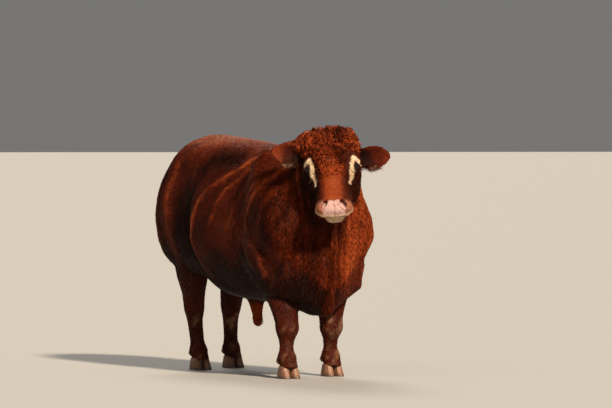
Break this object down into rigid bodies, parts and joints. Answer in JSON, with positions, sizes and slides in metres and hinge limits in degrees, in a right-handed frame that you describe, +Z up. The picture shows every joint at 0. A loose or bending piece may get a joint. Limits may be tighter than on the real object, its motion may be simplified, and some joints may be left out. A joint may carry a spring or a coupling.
{
  "type": "beef bull",
  "caption": "Standing polled beef bull, life size, head turned to its right, with a curly poll, deep brisket, heavy quarters, cloven hooves and a hanging tail.",
  "frame": {"origin": "on the ground, under the middle of the bull's box", "axes": "-Y to its muzzle, +X to its left, +Z up"},
  "size_m": [0.7507, 2.2854, 1.5129],
  "materials": {
    "coat": "short red-brown hair, curly on the poll",
    "horn": "dull dark hoof horn",
    "eye": "wet gloss"
  },
  "bodies": {
    "root": {"head": "coat", "neck": "coat", "dewlap": "coat", "chest": "coat", "barrel": "coat", "rump": "coat", "tail": "coat", "tail_switch": "coat", "sheath": "coat", "scrotum": "coat", "ear_right": "coat", "ear_left": "coat", "fore_right_leg_upper": "coat", "fore_right_leg_lower": "coat", "fore_left_leg_upper": "coat", "fore_left_leg_lower": "coat", "hind_right_leg_upper": "coat", "hind_right_leg_lower": "coat", "hind_left_leg_upper": "coat", "hind_left_leg_lower": "coat", "fore_right_claw_a": "horn", "fore_right_claw_b": "horn", "fore_right_dewclaw_a": "horn", "fore_right_dewclaw_b": "horn", "fore_left_claw_a": "horn", "fore_left_claw_b": "horn", "fore_left_dewclaw_a": "horn", "fore_left_dewclaw_b": "horn", "hind_right_claw_a": "horn", "hind_right_claw_b": "horn", "hind_right_dewclaw_a": "horn", "hind_right_dewclaw_b": "horn", "hind_left_claw_a": "horn", "hind_left_claw_b": "horn", "hind_left_dewclaw_a": "horn", "hind_left_dewclaw_b": "horn", "eye_right": "eye", "eye_left": "eye"}
  },
  "joints": []
}
